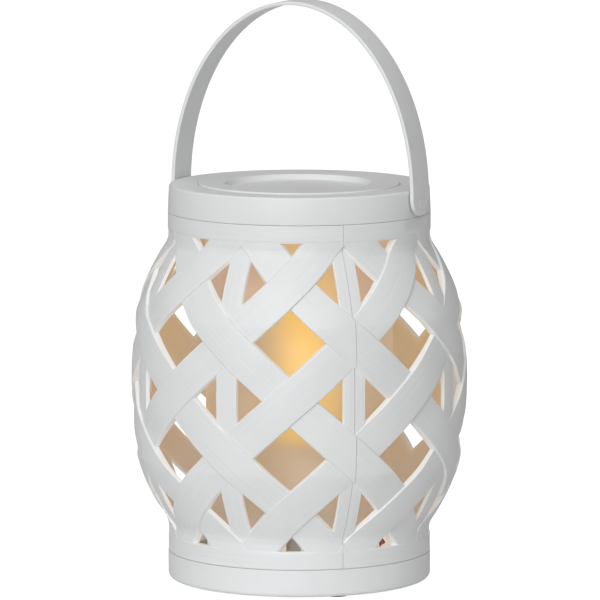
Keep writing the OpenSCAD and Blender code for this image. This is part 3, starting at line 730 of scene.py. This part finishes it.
def maths(tree, operation, a, b=0.0, c=0.0):
    """One Math node's result."""
    return put(tree, "ShaderNodeMath", {0: a, 1: b, 2: c}, operation=operation).outputs[0]


def object_place(tree):
    """The point being shaded, in the object's own metres."""
    return put(tree, "ShaderNodeTexCoord").outputs["Object"]


def part(tree, vector, axis):
    """One part of a vector: 0, 1 or 2 for X, Y or Z."""
    return put(tree, "ShaderNodeSeparateXYZ", {0: vector}).outputs[axis]


def mark(tree, name):
    """One of the shares that a Shape stores for each point."""
    return put(tree, "ShaderNodeAttribute", attribute_name=name).outputs["Fac"]


def noise(tree, place, scale, detail=2.0, dimensions="3D"):
    """Smooth noise between 0 and 1; scale counts its waves in a metre."""
    return put(tree, "ShaderNodeTexNoise", {"Vector": place, "Scale": scale, "Detail": detail},
               noise_dimensions=dimensions).outputs[0]


def tinted(tree, colour, factor):
    """A colour times a factor."""
    return put(tree, "ShaderNodeVectorMath", {0: colour, "Scale": factor},
               operation="SCALE").outputs[0]


def blended(tree, factor, a, b):
    """A colour between a and b."""
    a, b = (value if isinstance(value, bpy.types.NodeSocket) else (*value, 1) for value in (a, b))
    return put(tree, "ShaderNodeMix", {"Factor": factor, 6: a, 7: b}, data_type="RGBA").outputs[2]


def new_group(name, inputs, outputs):
    """Starts a node group and gives its tree, its input sockets and its last node."""
    tree = bpy.data.node_groups.new(name, "ShaderNodeTree")
    for label, kind, value in inputs:
        socket = tree.interface.new_socket(label, in_out="INPUT", socket_type="NodeSocket" + kind)
        socket.default_value = value
    for label, kind in outputs:
        tree.interface.new_socket(label, in_out="OUTPUT", socket_type="NodeSocket" + kind)
    start = tree.nodes.new("NodeGroupInput").outputs
    return tree, start, tree.nodes.new("NodeGroupOutput")


SKIN_OUT = [("Colour", "Color"), ("Roughness", "Float"), ("Height", "Float")]
FINE = 0.0001  # relief of a moulded surface's texture


def moulded_skin_group():
    """Moulded plastic: a broad mottle of tone, a finer one of gloss, and a fine texture."""
    tree, start, end = new_group(
        "moulded_skin",
        [("Colour", "Color", (0.8, 0.8, 0.8, 1)), ("Mottle", "Float", 0.05),
         ("Roughness", "Float", 0.45), ("Grain", "Float", 700.0)], SKIN_OUT)
    place = object_place(tree)
    broad, middle = noise(tree, place, 38.0, 3.0), noise(tree, place, 240.0)
    tone = maths(tree, "ADD", broad, maths(tree, "MULTIPLY", middle, 0.5))
    shift = maths(tree, "MULTIPLY_ADD", maths(tree, "SUBTRACT", tone, 0.75), start["Mottle"], 1.0)
    gloss = maths(tree, "MULTIPLY", maths(tree, "SUBTRACT", middle, 0.5), 0.22)
    feed(end, {"Colour": tinted(tree, start["Colour"], shift),
               "Roughness": maths(tree, "ADD", start["Roughness"], gloss),
               "Height": noise(tree, place, start["Grain"])})
    return tree


def strip_grain_group():
    """Fine streaks along a strip: noise on its UV map, drawn out a hundredfold lengthwise."""
    tree, start, end = new_group(
        "strip_grain",
        [("Colour", "Color", (0.8, 0.8, 0.8, 1)), ("Streaks", "Float", 0.1),
         ("Roughness", "Float", 0.4)], SKIN_OUT)
    uv = put(tree, "ShaderNodeUVMap", uv_map="strip").outputs[0]
    hair, slow = (
        noise(tree, put(tree, "ShaderNodeMapping", {"Vector": uv, "Scale": scale}).outputs[0],
              1.0, detail, "2D")
        for scale, detail in (((30.0, 1700.0, 1.0), 3.0), ((14.0, 560.0, 1.0), 2.0)))
    lines = maths(tree, "MULTIPLY_ADD", hair, 0.6, maths(tree, "MULTIPLY", slow, 0.4))
    shift = maths(tree, "MULTIPLY_ADD", maths(tree, "SUBTRACT", lines, 0.5), start["Streaks"], 1.0)
    gloss = maths(tree, "MULTIPLY_ADD", lines, 0.3, maths(tree, "ADD", start["Roughness"], -0.15))
    feed(end, {"Colour": tinted(tree, start["Colour"], shift), "Roughness": gloss,
               "Height": lines})
    return tree


SKINS = {"moulded_skin": moulded_skin_group, "strip_grain": strip_grain_group}


def begin(name):
    """A new material, its tree and its shader."""
    material = bpy.data.materials.new(name)
    material.use_nodes = True
    tree = material.node_tree
    return material, tree, tree.nodes["Principled BSDF"]


def raised(tree, shader, strength, depth, height):
    """Raises the surface by a height between 0 and 1; depth is the relief in metres."""
    relief = put(tree, "ShaderNodeBump", {"Strength": strength, "Distance": depth,
                                          "Height": height})
    feed(shader, {"Normal": relief.outputs[0]})


def skinned(name, skin_name, values, bump, depth=FINE):
    """Begins a material whose shader wears one of the shared skins, built when first needed."""
    material, tree, shader = begin(name)
    group = bpy.data.node_groups.get(skin_name) or SKINS[skin_name]()
    skin = put(tree, "ShaderNodeGroup", values, node_tree=group)
    feed(shader, {"Base Color": skin.outputs["Colour"], "Roughness": skin.outputs["Roughness"]})
    raised(tree, shader, bump, depth, skin.outputs["Height"])
    return material, tree, shader


def shines(shader, colour, strength=1.0):
    """Gives the shader a light of its own."""
    feed(shader, {"Emission Color": colour, "Emission Strength": strength})


def moulded(name, colour, roughness, mottle=0.05, grain=700.0, bump=0.25, metal=0.0):
    """A material of moulded plastic, rubber or plated steel, made once for each name."""
    found = bpy.data.materials.get(name)
    if found:
        return found
    values = {"Colour": (*colour, 1), "Roughness": roughness, "Mottle": mottle, "Grain": grain}
    material, _, shader = skinned(name, "moulded_skin", values, bump)
    feed(shader, {"Metallic": metal})
    return material


def smooth_plastic(context, name="smooth_plastic"):
    """Satin white plastic of the cap, lid, tray and pins."""
    return moulded(name, context.scene.lantern_colours.plastic, 0.42, 0.05, 900.0, 0.15)


def lid_plastic(context):
    """The same plastic, with painted shade darkening the grip scoop."""
    material = smooth_plastic(context, "lid_plastic")
    tree = material.node_tree
    shader = tree.nodes["Principled BSDF"]
    unshaded_colour = shader.inputs["Base Color"].links[0].from_socket
    # Painted shade: the scoop's mark blends the colour towards dark grey
    feed(shader, {"Base Color": blended(tree, mark(tree, "rim"), unshaded_colour, (0.36, 0.36, 0.34))})
    return material


def woven_plastic(context):
    """White plastic drawn into strips, with fine streaks along them, painted warm light on its
    inside faces and a painted highlight on its openings' rims.
    """
    found = bpy.data.materials.get("woven_plastic")
    if found:
        return found
    colours = context.scene.lantern_colours
    values = {"Colour": (*colours.plastic, 1), "Streaks": 0.12, "Roughness": 0.40}
    material, tree, shader = skinned("woven_plastic", "strip_grain", values, 0.45, 2 * FINE)
    # Painted light: the inside faces glow warm, standing in for the frosted cylinder's light
    # falling on them
    wall = blended(tree, mark(tree, "inside"), (0, 0, 0), (0.08, 0.040, 0.022))
    # Painted highlight: the openings' rims glow with the rim colour
    shines(shader, blended(tree, mark(tree, "rim"), wall, colours.rim))
    return material


def height_ramp(tree, stops):
    """A colour ramp over height: stops are (height in metres, colour)."""
    place = object_place(tree)
    low, high = stops[0][0], stops[-1][0]
    above = maths(tree, "SUBTRACT", part(tree, place, 2), low)
    ramp = put(tree, "ShaderNodeValToRGB", {0: maths(tree, "DIVIDE", above, high - low)})
    ramp.color_ramp.interpolation = "EASE"
    places = ramp.color_ramp.elements
    while len(places) < len(stops):
        places.new(0.5)
    for stop, (height, colour) in zip(places, stops):
        stop.position = (height - low) / (high - low)
        stop.color = (*colour, 1)
    return ramp.outputs[0], place


TONGUE_AT = math.radians(-60)  # azimuth of the first of the three tongues of light


def frosted(context):
    """Frosted, light-spreading plastic, lit more where the flame casts its three tongues.

    A tongue's share is ((1 + cos 3(w - w0)) / 2) cubed round the cylinder, times a ramp up it.
    """
    values = {"Colour": (*context.scene.lantern_colours.frost, 1), "Roughness": 0.5,
              "Mottle": 0.04, "Grain": 1600.0}
    material, tree, shader = skinned("frosted_plastic", "moulded_skin", values, 0.1)
    flame_z = LENS_LOW.z
    calm, place = height_ramp(tree, [
        (TUBE_LOW.z, (0.148, 0.125, 0.10)), (flame_z - 32 * MM, (0.148, 0.12, 0.075)),
        (flame_z + 15 * MM, (0.172, 0.15, 0.12)), (flame_z + 40 * MM, (0.185, 0.147, 0.12)),
        (TUBE_HIGH.z, (0.225, 0.17, 0.13))])
    height, _ = height_ramp(tree, [
        (flame_z - 33 * MM, (0, 0, 0)), (flame_z - 24 * MM, (1, 1, 1)),
        (flame_z + 28 * MM, (0.9, 0.9, 0.9)), (flame_z + 46 * MM, (0.5, 0.5, 0.5)),
        (TUBE_HIGH.z, (0.35, 0.35, 0.35))])
    turn = maths(tree, "ARCTAN2", part(tree, place, 1), part(tree, place, 0))
    lobe = maths(tree, "COSINE", maths(tree, "MULTIPLY_ADD", turn, 3.0, -3 * TONGUE_AT))
    lobe = maths(tree, "POWER", maths(tree, "MULTIPLY_ADD", lobe, 0.5, 0.5), 3.0)
    glow = blended(tree, maths(tree, "MULTIPLY", lobe, height), calm, (0.43, 0.262, 0.0))
    gain = maths(tree, "MULTIPLY_ADD", noise(tree, place, 26.0, 1.0), 0.3, 0.85)
    gain = maths(tree, "MULTIPLY", gain, maths(tree, "SUBTRACT", 1.0, mark(tree, "inside")))
    shines(shader, tinted(tree, glow, gain))
    feed(shader, {"Transmission Weight": 0.45, "IOR": 1.2})
    return material


def flame_resin(context):
    """Amber resin that shines, palest at its foot and deepest at its tip."""
    colours = context.scene.lantern_colours
    values = {"Colour": (*colours.glow, 1), "Roughness": 0.3}
    material, tree, shader = skinned("flame_resin", "moulded_skin", values, 0.2)
    stops = [(LENS_LOW.z, (1.0, 0.70, 0.16)),
             (LENS_LOW.z + 0.4 * (LENS_HIGH.z - LENS_LOW.z), (1.0, 0.62, 0.12)),
             (LENS_HIGH.z, (0.8, 0.36, 0.08))]
    shines(shader, height_ramp(tree, stops)[0], colours.glow_strength)
    return material


def post_plastic():
    """White plastic of the post, which carries the light down from its head."""
    values = {"Colour": (0.7, 0.66, 0.6, 1)}
    material, tree, shader = skinned("post_plastic", "moulded_skin", values, 0.3)
    glow, _ = height_ramp(tree, [(LENS_LOW.z - 30 * MM, (0, 0, 0)),
                                 (LENS_LOW.z, (1.0, 0.62, 0.14))])
    shines(shader, glow, 0.35)
    return material


def bay_plastic():
    """The bay's plain plastic, with warm light on the faces that lie outside the bay."""
    material = moulded("bay_plastic", (0.66, 0.65, 0.62), 0.5, 0.08, 600.0, 0.3)
    tree = material.node_tree
    high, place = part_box("battery_box")[1], object_place(tree)
    outside = (maths(tree, "GREATER_THAN", maths(tree, "ABSOLUTE", part(tree, place, axis)),
                     high[axis] - 0.4 * MM) for axis in (0, 1))
    either = maths(tree, "MAXIMUM", *outside)
    shines(tree.nodes["Principled BSDF"],
           blended(tree, either, (0, 0, 0), (0.50, 0.44, 0.38)))
    return material


COPPER_FROM, STEEL_FROM = 11.5 * MM, 24 * MM  # where a cell's two bare bands start


def cell_sleeve(name, way):
    """A cell's wrapped sleeve: dark body, a copper band and bare steel at the button end.

    The bands run along X; way is 1 or -1, the side that the button is on.
    """
    material, tree, shader = begin(name)
    place = object_place(tree)
    along = maths(tree, "MULTIPLY", part(tree, place, 0), float(way))
    copper = maths(tree, "GREATER_THAN", along, COPPER_FROM)
    steel = maths(tree, "GREATER_THAN", along, STEEL_FROM)
    mottle = noise(tree, place, 260.0)
    body = blended(tree, mottle, (0.012, 0.035, 0.075), (0.02, 0.055, 0.11))
    colour = blended(tree, copper, body, (0.62, 0.30, 0.14))
    colour = blended(tree, steel, colour, (0.60, 0.60, 0.61))
    metal = maths(tree, "MAXIMUM", maths(tree, "MULTIPLY", copper, 0.6), steel)
    feed(shader, {"Base Color": colour, "Metallic": metal,
                  "Roughness": maths(tree, "MULTIPLY_ADD", mottle, 0.15, 0.22)})
    return material


def board_laminate():
    """Green solder mask over fine parallel tracks and a few pads."""
    material, tree, shader = begin("board_laminate")
    place = object_place(tree)
    tracks = put(tree, "ShaderNodeTexBrick",
                 {"Vector": place, "Scale": 260.0, "Mortar Size": 0.06, "Mortar Smooth": 0.1,
                  "Color1": (0.012, 0.10, 0.04, 1), "Color2": (0.014, 0.12, 0.05, 1),
                  "Mortar": (0.03, 0.20, 0.08, 1)})
    pads = put(tree, "ShaderNodeTexVoronoi", {"Vector": place, "Scale": 220.0})
    pad = maths(tree, "LESS_THAN", pads.outputs["Distance"], 0.16)
    feed(shader, {"Base Color": blended(tree, pad, tracks.outputs[0], (0.62, 0.60, 0.55)),
                  "Roughness": maths(tree, "MULTIPLY_ADD", pad, 0.2, 0.28)})
    raised(tree, shader, 0.4, FINE, tracks.outputs["Fac"])
    return material


def led_resin():
    """Clear resin of the small lights, shining warm."""
    material, tree, shader = begin("led_resin")
    glow, place = height_ramp(tree, [(LENS_LOW.z, (0.9, 0.62, 0.34)),
                                     (LENS_LOW.z + 8 * MM, (1.0, 0.86, 0.62))])
    shines(shader, glow, 1.2)
    feed(shader, {"Base Color": glow,
                  "Roughness": maths(tree, "MULTIPLY_ADD", noise(tree, place, 500.0), 0.1, 0.1)})
    return material


class LANTERN_OT_fittings(bpy.types.Operator):
    """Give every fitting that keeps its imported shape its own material"""

    bl_idname = "lantern.fittings"
    bl_label = "Fittings"

    def execute(self, context):
        steel = moulded("zinc_steel", (0.56, 0.57, 0.59), 0.34, 0.12, 500.0, 0.2, metal=1.0)
        spring = moulded("spring_steel", (0.62, 0.62, 0.63), 0.25, 0.08, 900.0, 0.15, metal=1.0)
        inner = moulded("inner_plastic", (0.66, 0.65, 0.62), 0.5, 0.08, 600.0, 0.3)
        black = moulded("switch_plastic", (0.018, 0.018, 0.02), 0.45, 0.2, 900.0, 0.3)
        chips = moulded("component_plastic", (0.02, 0.02, 0.022), 0.5, 0.2, 1200.0, 0.3)
        rubber = moulded("rubber", (0.15, 0.15, 0.16), 0.8, 0.3, 1500.0, 0.5)
        door = moulded("door_plastic", (0.74, 0.755, 0.765), 0.5, 0.06, 700.0, 0.35)
        looks = {
            "base_tray": smooth_plastic(context), "battery_door": door, "rubber_feet": rubber,
            "pin_washers": steel, "base_screws": steel, "cap_screws": steel,
            "seat_screws": steel, "door_screw": steel, "contact_springs": spring,
            "contact_plates": spring, "battery_box": bay_plastic(), "light_seat": inner,
            "light_post": post_plastic(), "switch_body": black, "switch_knob": black,
            "board_parts": chips, "led_board": board_laminate(), "flame_leds": led_resin(),
            "battery_1": cell_sleeve("sleeve_right", 1),
            "battery_2": cell_sleeve("sleeve_left", -1),
            "battery_3": cell_sleeve("sleeve_right_rear", 1),
            "wire_red": moulded("red_insulation", (0.10, 0.03, 0.022), 0.45, 0.1),
            "wire_black": moulded("black_insulation", (0.012, 0.012, 0.013), 0.35, 0.2),
            "wire_switch": moulded("grey_insulation", (0.15, 0.155, 0.16), 0.35, 0.1),
        }
        for node, material in looks.items():
            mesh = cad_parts[node].data
            mesh.materials.clear()
            mesh.materials.append(material)
        return {"FINISHED"}


# ---------------------------------------------------------------- stage

KEY_SPREAD = math.radians(50)  # how broad the key light is
KEY_TILT = math.radians(69)  # its lean from straight down
KEY_TURN = math.radians(15.5)  # how far it stands to the left of the camera
FLOOR_HALF = 14.0  # half of the floor's width in metres
FLOOR_SEEN = 0.72  # light that only the camera sees on the floor
FLOOR_POOL, FLOOR_FADE = 0.20, 4.0  # light round the floor's middle, and its fall in a metre


class LanternView(bpy.types.PropertyGroup):
    """Where the camera stands and how the light falls"""

    azimuth: bpy.props.FloatProperty(
        name="Azimuth", description="Turn of the camera round the lantern", subtype="ANGLE",
        default=math.radians(25.8))
    pitch: bpy.props.FloatProperty(
        name="Pitch", description="How far the camera looks down", subtype="ANGLE",
        default=math.radians(7.487))
    distance: size_prop("Distance", "Level distance of the camera from the axis", 2.4908)
    height: size_prop("Height", "Height of the camera", 0.4457)
    lens: bpy.props.FloatProperty(
        name="Lens", description="Focal length of the camera in millimetres", default=357.15)
    room: bpy.props.FloatProperty(
        name="Room light", description="Brightness of the walls all round", default=0.11)
    ceiling: bpy.props.FloatProperty(
        name="Ceiling light", description="How much brighter the ceiling is", default=0.85)
    key: bpy.props.FloatProperty(
        name="Key light", description="Strength of the broad light from the front left",
        default=1.80)


class LANTERN_OT_stage(bpy.types.Operator):
    """Set the pale floor, the soft light and the camera"""

    bl_idname = "lantern.stage"
    bl_label = "Stage"

    def execute(self, context):
        view = context.scene.lantern_view
        scene = context.scene
        scene.view_settings.view_transform = "Standard"
        self.floor(scene)
        world = bpy.data.worlds.new("room")
        world.use_nodes = True
        tree = world.node_tree
        rise = part(tree, put(tree, "ShaderNodeTexCoord").outputs["Generated"], 2)
        strength = maths(tree, "MULTIPLY_ADD", maths(tree, "MULTIPLY", rise, rise),
                         view.ceiling, view.room)
        feed(tree.nodes["Background"], {"Color": (1.0, 0.988, 0.97, 1), "Strength": strength})
        scene.world = world
        sun = bpy.data.lights.new("key", "SUN")
        sun.energy = view.key
        sun.angle = KEY_SPREAD
        sun.color = (0.965, 0.985, 1.0)
        lamp = bpy.data.objects.new("key", sun)
        lamp.rotation_euler = (KEY_TILT, 0, view.azimuth - KEY_TURN)
        scene.collection.objects.link(lamp)
        camera = bpy.data.cameras.new("camera")
        camera.lens = view.lens
        camera.sensor_width = 36
        camera.shift_x = 0.0013
        camera.clip_end = 50
        eye = bpy.data.objects.new("camera", camera)
        eye.location = (view.distance * math.sin(view.azimuth),
                        -view.distance * math.cos(view.azimuth), view.height)
        eye.rotation_euler = (math.radians(90) - view.pitch, 0, view.azimuth)
        scene.collection.objects.link(eye)
        scene.camera = eye
        return {"FINISHED"}

    def floor(self, scene):
        """A wide flat floor of faintly mottled white paper, lit more round the middle."""
        corners = [(x * FLOOR_HALF, y * FLOOR_HALF, 0)
                   for x, y in ((-1, -1), (1, -1), (1, 1), (-1, 1))]
        mesh = bpy.data.meshes.new("floor")
        mesh.from_pydata(corners, [], [(0, 1, 2, 3)])
        floor = bpy.data.objects.new("floor", mesh)
        scene.collection.objects.link(floor)
        material, tree, shader = begin("paper")
        place = object_place(tree)
        seen = put(tree, "ShaderNodeLightPath").outputs["Is Camera Ray"]
        reach = put(tree, "ShaderNodeVectorMath", {0: place}, operation="LENGTH").outputs["Value"]
        pool = maths(tree, "EXPONENT", maths(tree, "MULTIPLY", reach, -FLOOR_FADE))
        pool = maths(tree, "MULTIPLY", pool, FLOOR_POOL)
        lit = maths(tree, "MULTIPLY_ADD", seen, FLOOR_SEEN, pool)
        paper = blended(tree, noise(tree, place, 3.0), (0.59, 0.59, 0.59), (0.62, 0.62, 0.62))
        feed(shader, {"Base Color": paper, "Roughness": 0.9, "Specular IOR Level": 0.1})
        shines(shader, (1, 1, 1, 1), lit)
        mesh.materials.append(material)


class LANTERN_PT_tools(bpy.types.Panel):
    """Lists the lantern's sizes, colours and operators"""

    bl_idname = "LANTERN_PT_tools"
    bl_label = "Lantern"
    bl_space_type = "VIEW_3D"
    bl_region_type = "UI"
    bl_category = "Lantern"

    def draw(self, context):
        for group in (context.scene.lantern_sizes, context.scene.lantern_colours,
                      context.scene.lantern_view):
            box = self.layout.box()
            for key in group.__annotations__:
                box.prop(group, key)
        for step in STEPS:
            self.layout.operator(step.bl_idname)


STEPS = (LANTERN_OT_panels, LANTERN_OT_cap, LANTERN_OT_lid, LANTERN_OT_bail, LANTERN_OT_pins,
         LANTERN_OT_light, LANTERN_OT_fittings, LANTERN_OT_stage)
CLASSES = (LanternSizes, LanternColours, LanternView, *STEPS, LANTERN_PT_tools)


def register():
    for cls in CLASSES:
        bpy.utils.register_class(cls)
    scene = bpy.types.Scene
    scene.lantern_sizes = bpy.props.PointerProperty(type=LanternSizes)
    scene.lantern_colours = bpy.props.PointerProperty(type=LanternColours)
    scene.lantern_view = bpy.props.PointerProperty(type=LanternView)


def unregister():
    for name in ("lantern_sizes", "lantern_colours", "lantern_view"):
        delattr(bpy.types.Scene, name)
    for cls in reversed(CLASSES):
        bpy.utils.unregister_class(cls)


def main():
    """Builds every piece and the stage."""
    register()
    for step in STEPS:
        family, name = step.bl_idname.split(".")
        getattr(getattr(bpy.ops, family), name)()


if __name__ == "__main__":
    main()
